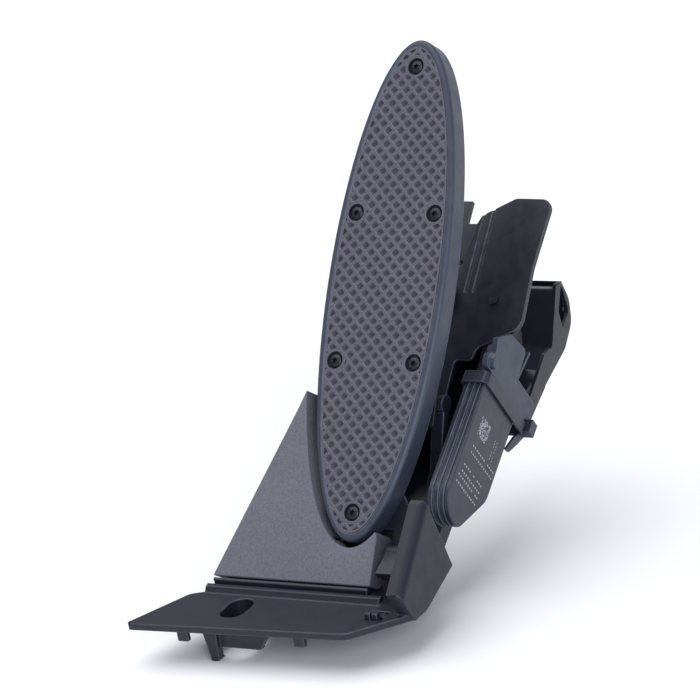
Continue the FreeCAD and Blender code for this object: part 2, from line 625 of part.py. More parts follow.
def cable_tie():
    outer = [(-24.4, 32.0, 3), (-24.4, 46.4, 3), (23.0, 46.4, 3), (23.0, 32.0, 3)]
    inner = [(-23.2, 33.2, 2), (-23.2, 45.2, 2), (21.8, 45.2, 2), (21.8, 33.2, 2)]

    def band(corners):
        wire = outline(corners, lambda p: V(p.y, TIE_S[0], p.x))
        return Part.Face(wire).extrude(V(0, TIE_S[1] - TIE_S[0], 0))
    loop = band(outer).cut(band(inner))
    head = box((42.8, 48.6), (45.0, 52.0), (-29.6, -24.0))
    tail = prism_x([(46.5, -25), (47, -29.2), (37, -23.6, 6), (30.0, -19.0), (29.6, -15.6), (39, -19.4, 6)], 43.4, 44.8)
    return placed(joined([loop, head, tail]), SENSOR)


HOOD_OUT = [(194.5, 89.5, 0.5), (199.5, 89, 0.5), (204.5, 78, 12), (203.5, 66, 10), (192.5, 56, 10), (166.5, 47),
            (167.5, 52), (181, 63)]
HOOD_IN = [(196.7, 95), (197.8, 95), (202.2, 77.7, 10), (201.2, 66.8, 8), (191.6, 58.2, 8), (176, 53),
           (183.1, 62.3)]


def cable_hood():
    shell = prism_x(HOOD_OUT, *HOOD_X)
    shell = shell.cut(prism_x(HOOD_IN, HOOD_X[0] + HOOD_T, HOOD_X[1] - HOOD_T))
    pocket = prism_x([(198.2, 87.3), (200, 84, 1), (202.4, 72, 3), (193.5, 66, 1), (192, 76, 1)],
                     HOOD_X[1] - 3, HOOD_X[1] + 1)
    skirt = prism_x([(141, 34.5, 2), (167, 46.8), (168, 52), (181, 63, 1), (172, 62, 4), (143, 43, 4)],
                    HOOD_X[1] - HOOD_T, HOOD_X[1])
    feet = prism_x([(150, 46), (166.4, 52.5), (166.4, 56), (150, 50)], HOUSING_X[1], HOOD_X[1] - HOOD_T)
    tongue = prism_x([(148, 42.2), (148, 44.1), (166.4, 52.0), (168, 52), (168, 47.6)],
                     HOOD_X[0], HOUSING_X[1])
    return joined([shell.cut(pocket), skirt, feet, tongue])


SHROUD_X = (2.0, 24.0)
SHROUD_N = (-24.0, -5.5)
SHROUD_U = (-2.0, 28.0)
SHROUD_T = 2.0


def connector_shroud():
    shell = box(SHROUD_X, SHROUD_U, SHROUD_N)
    t = SHROUD_T
    shell = shell.cut(box((SHROUD_X[0] + t, SHROUD_X[1] - t), (SHROUD_U[0] + t, SHROUD_U[1] + 1),
                          (SHROUD_N[0] + t, SHROUD_N[1] - t)))
    web = box((HOUSING_X[0] + WALL_T, HOUSING_X[1] - WALL_T), (SHROUD_U[0], SHROUD_U[0] + t), SHROUD_N)
    body = joined([shell, web])
    for x, n in CONTACTS:
        body = body.cut(box((x - 0.4, x + 0.4), (SHROUD_U[0] - 1, 1), (n - 1.0, n + 1.0)))
    return placed(body, GUARD)


CONTACTS = [(x, n) for x in (8.0, 13.0, 18.0) for n in (-11.5, -18.0)]


def connector_pins():
    pins = [box((x - 0.4, x + 0.4), (SHROUD_U[0] - 4, 13), (n - 1.0, n + 1.0)) for x, n in CONTACTS]
    return placed(Part.makeCompound(pins), GUARD)


# ---- write the nodes ---------------------------------------------------------------------------
NODES = [tread_bezel, tread_pad, tread_screws, pedal_carrier, hinge_bushes, drive_pad, hinge_pin_left,
         hinge_pin_right, pin_clip, thrust_washers, return_spring_outer, return_spring_inner, base_frame,
         flange_clip, rest_stop_buffer, heel_cover, rear_housing, housing_screws, guard_plate, guard_screws,
         full_travel_buffer, sensor_housing, sensor_seal, sensor_lid, circuit_board, sensor_chips, rotor_shaft,
         rotor_bush, rotor_cup, rotor_magnet, rotor_lever, slide_shoe, side_bracket, cable_tie, cable_hood,
         connector_shroud, connector_pins]

os.makedirs("parts", exist_ok=True)
for make in NODES:
    save(make.__name__, make())
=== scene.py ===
import math

import bmesh
import bpy
from mathutils import Matrix, Vector


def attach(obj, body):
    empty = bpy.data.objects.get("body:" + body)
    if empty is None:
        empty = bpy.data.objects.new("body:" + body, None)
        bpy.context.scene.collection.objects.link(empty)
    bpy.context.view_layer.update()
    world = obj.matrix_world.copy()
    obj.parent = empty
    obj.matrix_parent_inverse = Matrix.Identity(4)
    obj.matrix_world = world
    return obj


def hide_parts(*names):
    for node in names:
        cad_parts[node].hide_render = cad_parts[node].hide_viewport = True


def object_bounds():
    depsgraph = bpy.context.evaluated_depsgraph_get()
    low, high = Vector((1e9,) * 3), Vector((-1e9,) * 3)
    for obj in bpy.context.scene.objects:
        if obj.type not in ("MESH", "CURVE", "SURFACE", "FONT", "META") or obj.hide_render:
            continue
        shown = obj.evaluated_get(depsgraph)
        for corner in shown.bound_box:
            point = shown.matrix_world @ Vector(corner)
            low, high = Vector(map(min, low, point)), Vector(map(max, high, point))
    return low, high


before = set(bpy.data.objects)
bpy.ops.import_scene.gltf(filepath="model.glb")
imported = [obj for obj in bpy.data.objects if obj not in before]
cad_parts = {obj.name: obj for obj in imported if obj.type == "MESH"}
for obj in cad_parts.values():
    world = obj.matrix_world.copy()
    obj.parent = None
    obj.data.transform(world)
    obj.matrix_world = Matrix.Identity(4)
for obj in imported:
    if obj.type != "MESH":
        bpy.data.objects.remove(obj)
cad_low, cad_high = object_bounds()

# ---- camera ------------------------------------------------------------------------------------
# A long lens looks down on the pedal from the driver's right, with the head of the tripod tilted
# a little.
CAMERA_AIM = Vector((-0.0130, 0.0848, 0.0992))
CAMERA_DISTANCE = 1.692
CAMERA_TURN = math.radians(32.96)
CAMERA_RISE = math.radians(20.49)
CAMERA_ROLL = math.radians(10.74)
CAMERA_LENS_MM = 185.1
SENSOR_WIDTH_MM = 36
FAR_CLIP = 50
look = Vector((-math.sin(CAMERA_TURN) * math.cos(CAMERA_RISE), math.cos(CAMERA_TURN) * math.cos(CAMERA_RISE),
               -math.sin(CAMERA_RISE)))
level = Vector((math.cos(CAMERA_TURN), math.sin(CAMERA_TURN), 0))
rightward = level * math.cos(CAMERA_ROLL) - level.cross(look) * math.sin(CAMERA_ROLL)
camera = bpy.data.objects.new("camera", bpy.data.cameras.new("camera"))
bpy.context.scene.collection.objects.link(camera)
camera.data.lens = CAMERA_LENS_MM
camera.data.sensor_width = SENSOR_WIDTH_MM
camera.data.clip_end = FAR_CLIP
turn = Matrix((rightward, rightward.cross(look), -look)).transposed().to_4x4()
camera.matrix_world = Matrix.Translation(CAMERA_AIM - look * CAMERA_DISTANCE) @ turn
bpy.context.scene.camera = camera

# ---- floor and light ---------------------------------------------------------------------------
# A white sheet on the table, one broad soft light overhead, and a softer one from the front right.
# The room behind is dim, so the charcoal plastics keep their depth.
FLOOR_DROP = 0.0002
FLOOR_REACH = 6
ROOM_STRENGTH = 0.42


def colour(code, strength=1.0):
    """Linear colour from an sRGB hex code."""
    channels = [int(code[i:i + 2], 16) / 255 for i in (1, 3, 5)]
    linear = [c / 12.92 if c <= 0.04045 else ((c + 0.055) / 1.055) ** 2.4 for c in channels]
    return (*[c * strength for c in linear], 1.0)


def add(tree, kind, settings=None, inputs=None):
    """One node, with its settings, and its inputs set to a value or linked from another node's output."""
    made = tree.nodes.new(kind)
    for name, value in (settings or {}).items():
        setattr(made, name, value)
    for name, value in (inputs or {}).items():
        if isinstance(value, bpy.types.NodeSocket):
            tree.links.new(value, made.inputs[name])
        else:
            made.inputs[name].default_value = value
    return made


def new_material(name):
    finish = bpy.data.materials.new(name)
    finish.use_nodes = True
    finish.node_tree.nodes.clear()
    return finish, finish.node_tree


def link_object(name, mesh):
    made = bpy.data.objects.new(name, mesh)
    bpy.context.scene.collection.objects.link(made)
    return made


floor_mesh = bpy.data.meshes.new("white_sheet")
floor_z = cad_low.z - FLOOR_DROP
corners = [(x * FLOOR_REACH, y * FLOOR_REACH, floor_z) for x, y in ((-1, -1), (1, -1), (1, 1), (-1, 1))]
floor_mesh.from_pydata(corners, [], [(0, 1, 2, 3)])
floor = link_object("white_sheet", floor_mesh)
paper, tree = new_material("matt white paper")
surface = add(tree, "ShaderNodeBsdfPrincipled", inputs={"Base Color": colour("#f7f7f7"), "Roughness": 0.9,
                                                        "Specular IOR Level": 0.1})
add(tree, "ShaderNodeOutputMaterial", inputs={"Surface": surface.outputs[0]})
floor_mesh.materials.append(paper)

room = bpy.data.worlds.new("studio")
bpy.context.scene.world = room
room.use_nodes = True
room.node_tree.nodes["Background"].inputs["Color"].default_value = colour("#e9edf5")
room.node_tree.nodes["Background"].inputs["Strength"].default_value = ROOM_STRENGTH
bpy.context.scene.view_settings.view_transform = "Standard"


def soft_light(name, direction, strength, spread, tint):
    lamp = bpy.data.lights.new(name, "SUN")
    lamp.energy = strength
    lamp.angle = math.radians(spread)
    lamp.color = colour(tint)[:3]
    holder = bpy.data.objects.new(name, lamp)
    bpy.context.scene.collection.objects.link(holder)
    holder.rotation_mode = "QUATERNION"
    holder.rotation_quaternion = Vector(direction).to_track_quat("Z", "Y")


soft_light("overhead_bank", (-0.25, 0.05, 1.0), 2.2, 70, "#ffffff")
soft_light("front_right_bank", (0.75, -0.75, 0.45), 1.6, 35, "#eef3ff")


# ---- base frame --------------------------------------------------------------------------------
# One charcoal moulding of glass-filled nylon: floor flange, right cheek, bearing walls, slot
# collar and locating peg. It comes from a steel mould with a fine matt skin and small edge radii.
MERGE_REACH = 2e-6
FLAT_WITHIN = math.radians(0.6)
ROUNDED_FROM = math.radians(32)
SHARP_FROM = math.radians(50)


def moulded_plastic(name, body_code, edge_highlight_code, grain_mm, grain_depth_mm, rough, speckle=0.0, edge_mm=0.5):
    """Moulded thermoplastic: fine skin grain, soft mottling, and a painted highlight that lightens the edges in
    patches.
    """
    finish, tree = new_material(name)
    place = add(tree, "ShaderNodeTexCoord").outputs["Object"]
    cloud = add(tree, "ShaderNodeTexNoise", inputs={"Vector": place, "Scale": 1 / 0.035, "Detail": 3.0})
    grain = add(tree, "ShaderNodeTexNoise", inputs={"Vector": place, "Scale": 1000 / grain_mm, "Detail": 2.0,
                                                    "Roughness": 0.6})
    patch_noise = add(tree, "ShaderNodeTexNoise", inputs={"Vector": place, "Scale": 1 / 0.006, "Detail": 4.0})
    rounded = add(tree, "ShaderNodeBevel", {"samples": 4}, {"Radius": edge_mm / 1000})
    facing = add(tree, "ShaderNodeNewGeometry").outputs["Normal"]
    turn_of = add(tree, "ShaderNodeVectorMath", {"operation": "DOT_PRODUCT"}, {0: rounded.outputs[0], 1: facing})
    edge = add(tree, "ShaderNodeMapRange", inputs={"Value": turn_of.outputs["Value"], "From Min": 0.995,
                                                   "From Max": 0.90, "To Min": 0.0, "To Max": 1.0})
    painted_edge_highlight = add(tree, "ShaderNodeMath", {"operation": "MULTIPLY"}, {0: edge.outputs[0], 1: patch_noise.outputs["Fac"]})
    mottled = add(tree, "ShaderNodeMix", {"data_type": "RGBA"}, {0: cloud.outputs["Fac"],
                                                                6: colour(body_code, 0.86),
                                                                7: colour(body_code, 1.14)})
    flecks = add(tree, "ShaderNodeMapRange", inputs={"Value": grain.outputs["Fac"], "From Min": 0.35,
                                                     "From Max": 0.65, "To Min": 1 - speckle,
                                                     "To Max": 1 + speckle})
    speckled = add(tree, "ShaderNodeVectorMath", {"operation": "SCALE"},
                   {0: mottled.outputs[2], "Scale": flecks.outputs[0]})
    # Painted highlight: near the edges found by the bevel normal, the colour is mixed toward the lighter edge
    # colour, broken up by patch noise.
    final = add(tree, "ShaderNodeMix", {"data_type": "RGBA"}, {0: painted_edge_highlight.outputs[0], 6: speckled.outputs[0],
                                                              7: colour(edge_highlight_code)})
    sheen = add(tree, "ShaderNodeMapRange", inputs={"Value": patch_noise.outputs["Fac"], "From Min": 0.3,
                                                    "From Max": 0.7, "To Min": rough - 0.06,
                                                    "To Max": rough + 0.08})
    bumps = add(tree, "ShaderNodeBump", inputs={"Height": grain.outputs["Fac"], "Strength": 0.8,
                                                "Distance": grain_depth_mm / 1000,
                                                "Normal": rounded.outputs[0]})
    surface = add(tree, "ShaderNodeBsdfPrincipled",
                  inputs={"Base Color": final.outputs[2], "Roughness": sheen.outputs[0], "IOR": 1.5,
                          "Specular IOR Level": 0.4, "Normal": bumps.outputs[0]})
    add(tree, "ShaderNodeOutputMaterial", inputs={"Surface": surface.outputs[0]})
    return finish


def plain_mesh(name, obj):
    """The object as it stands after its modifiers, as a mesh of its own."""
    ready = obj.evaluated_get(bpy.context.evaluated_depsgraph_get())
    mesh = bpy.data.meshes.new_from_object(ready)
    mesh.name = name
    return mesh


def cad_copy(node, name, split=False):
    """The CAD node's solid again, its doubles merged and each flat face made whole."""
    rough_form = bmesh.new()
    rough_form.from_mesh(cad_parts[node].data)
    bmesh.ops.remove_doubles(rough_form, verts=rough_form.verts, dist=MERGE_REACH)
    bmesh.ops.dissolve_limit(rough_form, angle_limit=FLAT_WITHIN, verts=rough_form.verts,
                             edges=rough_form.edges)
    bmesh.ops.dissolve_degenerate(rough_form, edges=rough_form.edges, dist=MERGE_REACH)
    if split:
        bmesh.ops.triangulate(rough_form, faces=rough_form.faces, quad_method="BEAUTY", ngon_method="BEAUTY")
    clean = bpy.data.meshes.new(name)
    rough_form.to_mesh(clean)
    rough_form.free()
    mesh = bpy.data.meshes.new(name)
    mesh.from_pydata([v.co[:] for v in clean.vertices], [], [p.vertices[:] for p in clean.polygons])
    bpy.data.meshes.remove(clean)
    return link_object(name, mesh)


def settle(made, body, slot, finish, *nodes):
    """Gives a finished piece its material, its body, and the CAD nodes that it stands for."""
    made.data.materials.clear()
    made.data.materials.append(finish)
    if nodes:
        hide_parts(*nodes)
    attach(made, body)


def moulding(node, piece, body, slot, finish, radius_mm, split=False):
    """A moulded piece on the CAD solid, with its edges rounded as the mould leaves them."""
    made = cad_copy(node, piece, split)
    edges = made.modifiers.new("mould radii", "BEVEL")
    edges.width = radius_mm / 1000
    edges.segments = 2
    edges.limit_method = "ANGLE"
    edges.angle_limit = ROUNDED_FROM
    edges.use_clamp_overlap = False
    made.modifiers.new("plain triangles", "TRIANGULATE").min_vertices = 5
    made.data = plain_mesh(piece, made)
    made.modifiers.clear()
    made.data.shade_smooth()
    made.data.set_sharp_from_angle(angle=SHARP_FROM)
    weighted = made.modifiers.new("flats stay flat", "WEIGHTED_NORMAL")
    weighted.keep_sharp = True
    made.data = plain_mesh(piece, made)
    made.modifiers.clear()
    solid = [v.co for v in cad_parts[node].data.vertices]
    for axis in range(3):
        low, high = min(co[axis] for co in solid), max(co[axis] for co in solid)
        for vertex in made.data.vertices:
            vertex.co[axis] = min(max(vertex.co[axis], low), high)
    settle(made, body, slot, finish, node)


# In each finish below, the second colour is the painted highlight laid along its edges.
charcoal_nylon = moulded_plastic("moulded glass-filled nylon", "#1b1e29", "#7c879a", 0.8, 0.02, 0.42,
                                 edge_mm=0.8)
moulding("base_frame", "base_frame_moulding", "base", "glass_filled_nylon", charcoal_nylon, 0.5, split=True)
moulding("flange_clip", "flange_clip_moulding", "base", "glass_filled_nylon", charcoal_nylon, 0.15)

# ---- heel cover --------------------------------------------------------------------------------
# A separate nylon cover clipped over the hinge, with an oval recess round the tread's lower end.
# Its mould is spark-eroded, which leaves a coarse speckled skin.
grained_nylon = moulded_plastic("spark-eroded nylon", "#62646c", "#9a9ea8", 0.9, 0.10, 0.58, speckle=0.16)
moulding("heel_cover", "heel_cover_moulding", "base", "grained_cover", grained_nylon, 0.7)

# ---- tread -------------------------------------------------------------------------------------
# An oval satin bezel holds a rubber pad moulded with a square lattice at 45 degrees. Six black
# button-head screws clamp the pad and bezel to the carrier.
TREAD_SLOPE = math.radians(54)
TREAD_PLACE = Matrix.Translation((0, 0.104, 0.1237)) @ Matrix.Rotation(TREAD_SLOPE, 4, "X")
PAD_HALF_WIDTH = 0.0282
PAD_HALF_LENGTH = 0.1177
LATTICE_PITCH = 0.0047
LATTICE_RIDGE = 0.0011
LATTICE_DEPTH = 0.0011
LATTICE_CELLS = 52
LATTICE_SPREAD = 1.25
POCKET_TAPER = 0.42
PAD_TOP = 0.0002
PAD_RIM = 0.0008
WELL_RIM_R = 0.0056
CUT_SINK = 0.00001
SCREW_SPOTS = [(0, 0.108), (0, -0.108), (0.0212, 0.036), (-0.0212, 0.036), (0.0212, -0.036),
               (-0.0212, -0.036)]


def dress(node, finish):
    """A better finish on a CAD node that keeps its shape."""
    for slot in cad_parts[node].material_slots:
        slot.material = finish


satin_bezel = moulded_plastic("satin moulded polyamide", "#383d4b", "#a0a9ba", 0.8, 0.035, 0.36, speckle=0.05,
                              edge_mm=1.2)
moulding("tread_bezel", "tread_bezel_moulding", "pedal", "bezel_plastic", satin_bezel, 0.3)


def new_tree(name, sockets):
    """Empty geometry tree with a geometry in and out and named size inputs."""
    tree = bpy.data.node_groups.new(name, "GeometryNodeTree")
    tree.interface.new_socket("Geometry", in_out="INPUT", socket_type="NodeSocketGeometry")
    for label, kind in sockets:
        tree.interface.new_socket(label, in_out="INPUT", socket_type="NodeSocket" + kind)
    tree.interface.new_socket("Geometry", in_out="OUTPUT", socket_type="NodeSocketGeometry")
    return tree, add(tree, "NodeGroupInput").outputs


def finish_tree(tree, geometry, finish):
    solid = add(tree, "GeometryNodeRealizeInstances", inputs={"Geometry": geometry})
    coated = add(tree, "GeometryNodeSetMaterial", inputs={"Geometry": solid.outputs[0], "Material": finish})
    add(tree, "NodeGroupOutput", inputs={"Geometry": coated.outputs[0]})


def grow(name, tree, sizes, seed_mesh, place):
    """Runs a geometry tree once and keeps its result as a plain mesh, moved to its place."""
    made = link_object(name, seed_mesh)
    growth = made.modifiers.new("growth", "NODES")
    growth.node_group = tree
    for item in tree.interface.items_tree:
        if item.in_out == "INPUT" and item.name in sizes:
            growth[item.identifier] = sizes[item.name]
    mesh = plain_mesh(name, made)
    made.modifiers.clear()
    made.data = mesh
    mesh.transform(place)
    return made


def oval_prism(name, half_width, half_length, low, high, place, sides=160):
    """Closed elliptic prism; a circle where both halves are equal."""
    form = bmesh.new()
    rings = []
    for height in (low, high):
        ring = []
        for i in range(sides):
            angle = 2 * math.pi * i / sides
            ring.append(form.verts.new((half_width * math.cos(angle), half_length * math.sin(angle), height)))
        rings.append(ring)
    form.faces.new(rings[0][::-1])
    form.faces.new(rings[1])
    for i in range(sides):
        j = (i + 1) % sides
        form.faces.new((rings[0][i], rings[0][j], rings[1][j], rings[1][i]))
    mesh = bpy.data.meshes.new(name)
    form.to_mesh(mesh)
    form.free()
    mesh.transform(place)
    return link_object(name, mesh)


def carve(target, tool, operation):
    """Boolean with a throwaway tool."""
    cut = target.modifiers.new(operation, "BOOLEAN")
    cut.operation = operation
    cut.solver = "EXACT"
    cut.object = tool
    target.data = plain_mesh(target.name, target)
    target.modifiers.clear()
    bpy.data.objects.remove(tool)


pad_rubber = moulded_plastic("moulded nitrile rubber", "#474750", "#8a8a92", 0.7, 0.05, 0.60, speckle=0.12,
                             edge_mm=0.45)
tree = pad_rubber.node_tree
# Painted shade and painted highlight: the pad colour is darkened toward the lattice pocket floors and lightened
# on the ridge tops, by height above the tread.
place = add(tree, "ShaderNodeTexCoord").outputs["Object"]
flat = add(tree, "ShaderNodeMapping", {"vector_type": "TEXTURE"},
           {"Vector": place, "Location": TREAD_PLACE.translation, "Rotation": (TREAD_SLOPE, 0, 0)})
height = add(tree, "ShaderNodeSeparateXYZ", inputs={"Vector": flat.outputs[0]}).outputs["Z"]
painted_depth_shade = add(tree, "ShaderNodeMapRange", inputs={"Value": height, "From Min": -LATTICE_DEPTH, "From Max": 0.0001,
                                               "To Min": 0.40, "To Max": 1.30})
surface = tree.nodes["Principled BSDF"]
depth_shaded_colour = add(tree, "ShaderNodeVectorMath", {"operation": "SCALE"},
              {0: surface.inputs["Base Color"].links[0].from_socket, "Scale": painted_depth_shade.outputs[0]})
tree.links.new(depth_shaded_colour.outputs[0], surface.inputs["Base Color"])

tree, given = new_tree("lattice pockets", [("Pitch", "Float"), ("Ridge", "Float"), ("Depth", "Float"),
                                           ("Cells", "Int"), ("Half width", "Float"), ("Half length", "Float")])
span = add(tree, "ShaderNodeMath", {"operation": "MULTIPLY"}, {0: given["Pitch"], 1: given["Cells"]})
corners = add(tree, "ShaderNodeMath", {"operation": "ADD"}, {0: given["Cells"], 1: 1.0})
spots = add(tree, "GeometryNodeMeshGrid", inputs={"Size X": span.outputs[0], "Size Y": span.outputs[0],
                                                  "Vertices X": corners.outputs[0],
                                                  "Vertices Y": corners.outputs[0]})
turned = add(tree, "GeometryNodeTransform", inputs={"Geometry": spots.outputs["Mesh"],
                                                    "Rotation": (0, 0, math.radians(45))})
where = add(tree, "GeometryNodeInputPosition").outputs[0]
apart = add(tree, "ShaderNodeSeparateXYZ", inputs={"Vector": where}).outputs
across = add(tree, "ShaderNodeMath", {"operation": "DIVIDE"}, {0: apart["X"], 1: given["Half width"]})
along = add(tree, "ShaderNodeMath", {"operation": "DIVIDE"}, {0: apart["Y"], 1: given["Half length"]})
across_2 = add(tree, "ShaderNodeMath", {"operation": "POWER"}, {0: across.outputs[0], 1: 2.0})
along_2 = add(tree, "ShaderNodeMath", {"operation": "POWER"}, {0: along.outputs[0], 1: 2.0})
reach = add(tree, "ShaderNodeMath", {"operation": "ADD"}, {0: across_2.outputs[0], 1: along_2.outputs[0]})
outside = add(tree, "ShaderNodeMath", {"operation": "GREATER_THAN"}, {0: reach.outputs[0], 1: LATTICE_SPREAD})
kept = add(tree, "GeometryNodeDeleteGeometry", inputs={"Geometry": turned.outputs[0],
                                                       "Selection": outside.outputs[0]})
mouth = add(tree, "ShaderNodeMath", {"operation": "SUBTRACT"}, {0: given["Pitch"], 1: given["Ridge"]})
mouth_r = add(tree, "ShaderNodeMath", {"operation": "MULTIPLY"}, {0: mouth.outputs[0], 1: math.sqrt(0.5)})
floor_r = add(tree, "ShaderNodeMath", {"operation": "MULTIPLY"}, {0: mouth_r.outputs[0], 1: POCKET_TAPER})
pocket = add(tree, "GeometryNodeMeshCone", inputs={"Vertices": 4, "Radius Top": mouth_r.outputs[0],
                                                   "Radius Bottom": floor_r.outputs[0], "Depth": given["Depth"]})
pockets = add(tree, "GeometryNodeInstanceOnPoints", inputs={"Points": kept.outputs[0],
                                                            "Instance": pocket.outputs["Mesh"]})
finish_tree(tree, pockets.outputs[0], pad_rubber)
below_top = TREAD_PLACE @ Matrix.Translation((0, 0, PAD_TOP - LATTICE_DEPTH + CUT_SINK))
pockets = grow("lattice_pockets", tree, {"Pitch": LATTICE_PITCH, "Ridge": LATTICE_RIDGE, "Depth": LATTICE_DEPTH,
                                         "Cells": LATTICE_CELLS, "Half width": PAD_HALF_WIDTH,
                                         "Half length": PAD_HALF_LENGTH},
               bpy.data.meshes.new("seed"), below_top)
carve(pockets, oval_prism("pad_edge", PAD_HALF_WIDTH - PAD_RIM, PAD_HALF_LENGTH - PAD_RIM, -0.004, 0.004,
                          TREAD_PLACE), "INTERSECT")
for x, u in SCREW_SPOTS:
    carve(pockets, oval_prism("well_rim", WELL_RIM_R, WELL_RIM_R, -0.006, 0.006,
                              TREAD_PLACE @ Matrix.Translation((x, u, 0)), 48), "DIFFERENCE")
pad = cad_copy("tread_pad", "tread_pad_lattice")
carve(pad, pockets, "DIFFERENCE")
settle(pad, "pedal", "tread_rubber", pad_rubber, "tread_pad")

# The screws: hardened steel with black oxide, a domed button head and a six-lobed socket.
HEAD_PROFILE = [(0.0020, -0.0098), (0.0020, -0.0022), (0.0034, -0.0022), (0.0034, -0.0012), (0.0031, -0.0006),
                (0.0024, -0.0003)]
SOCKET_R = 0.00125
SOCKET_LOBE = 0.00035
SOCKET_LOBES = 6
SOCKET_DEPTH = 0.0015
SOCKET_RIM = 0.0001
HEAD_SIDES = 48
form = bmesh.new()
rings = []
for radius, height in HEAD_PROFILE:
    turns = [2 * math.pi * i / HEAD_SIDES for i in range(HEAD_SIDES)]
    rings.append([form.verts.new((radius * math.cos(a), radius * math.sin(a), height)) for a in turns])
for height in (HEAD_PROFILE[-1][1] + SOCKET_RIM, HEAD_PROFILE[-1][1] - SOCKET_DEPTH):
    ring = []
    for i in range(HEAD_SIDES):
        angle = 2 * math.pi * i / HEAD_SIDES
        radius = SOCKET_R + SOCKET_LOBE * math.cos(SOCKET_LOBES * angle)
        ring.append(form.verts.new((radius * math.cos(angle), radius * math.sin(angle), height)))
    rings.append(ring)
form.faces.new(rings[0][::-1])
form.faces.new(rings[-1])
for low, high in zip(rings, rings[1:]):
    for i in range(HEAD_SIDES):
        j = (i + 1) % HEAD_SIDES
        form.faces.new((low[i], low[j], high[j], high[i]))
mesh = bpy.data.meshes.new("button_head")
form.to_mesh(mesh)
form.free()
mesh.shade_smooth()
mesh.set_sharp_from_angle(angle=math.radians(45))
button_head = link_object("button_head", mesh)

black_oxide, tree = new_material("black oxide on steel")
place = add(tree, "ShaderNodeTexCoord").outputs["Object"]
soot = add(tree, "ShaderNodeTexNoise", inputs={"Vector": place, "Scale": 1 / 0.0012, "Detail": 4.0})
tint = add(tree, "ShaderNodeMix", {"data_type": "RGBA"}, {0: soot.outputs["Fac"], 6: colour("#25262a"),
                                                         7: colour("#4b4d54")})
haze = add(tree, "ShaderNodeMapRange", inputs={"Value": soot.outputs["Fac"], "To Min": 0.32, "To Max": 0.52})
pits = add(tree, "ShaderNodeBump", inputs={"Height": soot.outputs["Fac"], "Distance": 0.00002, "Strength": 0.6})
surface = add(tree, "ShaderNodeBsdfPrincipled", inputs={"Base Color": tint.outputs[2], "Metallic": 0.85,
                                                        "Roughness": haze.outputs[0], "Normal": pits.outputs[0]})
add(tree, "ShaderNodeOutputMaterial", inputs={"Surface": surface.outputs[0]})

tree, given = new_tree("screws in their wells", [("Head", "Object"), ("Turn seed", "Int")])
head = add(tree, "GeometryNodeObjectInfo", inputs={"Object": given["Head"]})
spin = add(tree, "FunctionNodeRandomValue", {"data_type": "FLOAT_VECTOR"},
           {"Min": (0, 0, 0), "Max": (0, 0, math.pi), "Seed": given["Turn seed"]})
heads = add(tree, "GeometryNodeInstanceOnPoints", inputs={"Points": given["Geometry"],
                                                          "Instance": head.outputs["Geometry"],
                                                          "Rotation": spin.outputs[0]})
finish_tree(tree, heads.outputs[0], black_oxide)
spots = bpy.data.meshes.new("screw_spots")
spots.from_pydata([(x, u, 0) for x, u in SCREW_SPOTS], [], [])
screws = grow("tread_button_screws", tree, {"Head": button_head, "Turn seed": 4}, spots, TREAD_PLACE)
bpy.data.objects.remove(button_head)
settle(screws, "pedal", "black_steel", black_oxide, "tread_screws")

# ---- carrier, hinge and springs ----------------------------------------------------------------
# The ribbed nylon arm under the tread turns on two ground steel pins in acetal bushes. Two coiled
# springs of drawn wire push it back up against a rubber buffer.
moulding("pedal_carrier", "pedal_carrier_moulding", "pedal", "glass_filled_nylon", charcoal_nylon, 0.4,
         split=True)


def drawn_metal(name, body_code, scratch_code, rough, streak_mm, stretch):
    """Bare metal with fine streaks along the way it was drawn or ground."""
    finish, tree = new_material(name)
    place = add(tree, "ShaderNodeTexCoord").outputs["Object"]
    pulled = add(tree, "ShaderNodeMapping", inputs={"Vector": place, "Scale": stretch})
    streaks = add(tree, "ShaderNodeTexNoise", inputs={"Vector": pulled.outputs[0], "Scale": 1000 / streak_mm,
                                                      "Detail": 3.0})
    tint = add(tree, "ShaderNodeMix", {"data_type": "RGBA"}, {0: streaks.outputs["Fac"], 6: colour(body_code),
                                                             7: colour(scratch_code)})
    haze = add(tree, "ShaderNodeMapRange", inputs={"Value": streaks.outputs["Fac"], "To Min": rough - 0.08,
                                                   "To Max": rough + 0.1})
    scratches = add(tree, "ShaderNodeBump", inputs={"Height": streaks.outputs["Fac"], "Distance": 0.00001,
                                                    "Strength": 0.5})
    surface = add(tree, "ShaderNodeBsdfPrincipled",
                  inputs={"Base Color": tint.outputs[2], "Metallic": 1.0, "Roughness": haze.outputs[0],
                          "Normal": scratches.outputs[0]})
    add(tree, "ShaderNodeOutputMaterial", inputs={"Surface": surface.outputs[0]})
    return finish


spring_wire = drawn_metal("drawn spring wire", "#4c4d50", "#77787a", 0.35, 0.4, (0.15, 1, 1))
ground_steel = drawn_metal("ground steel", "#8b8c8d", "#b4b5b5", 0.25, 0.3, (1, 0.2, 0.2))
zinc_plate = drawn_metal("zinc-plated steel", "#9da0a3", "#c3c4c2", 0.38, 0.8, (1, 1, 1))
acetal = moulded_plastic("black acetal", "#222327", "#50535a", 0.8, 0.01, 0.32)
buffer_rubber = moulded_plastic("black buffer rubber", "#1d1d20", "#3a3b3f", 0.6, 0.05, 0.72)
for node, finish in {"return_spring_outer": spring_wire, "return_spring_inner": spring_wire,
                     "hinge_pin_left": ground_steel, "hinge_pin_right": ground_steel, "pin_clip": ground_steel,
                     "hinge_bushes": acetal, "thrust_washers": acetal, "drive_pad": acetal,
                     "rest_stop_buffer": buffer_rubber, "full_travel_buffer": buffer_rubber}.items():
    dress(node, finish)

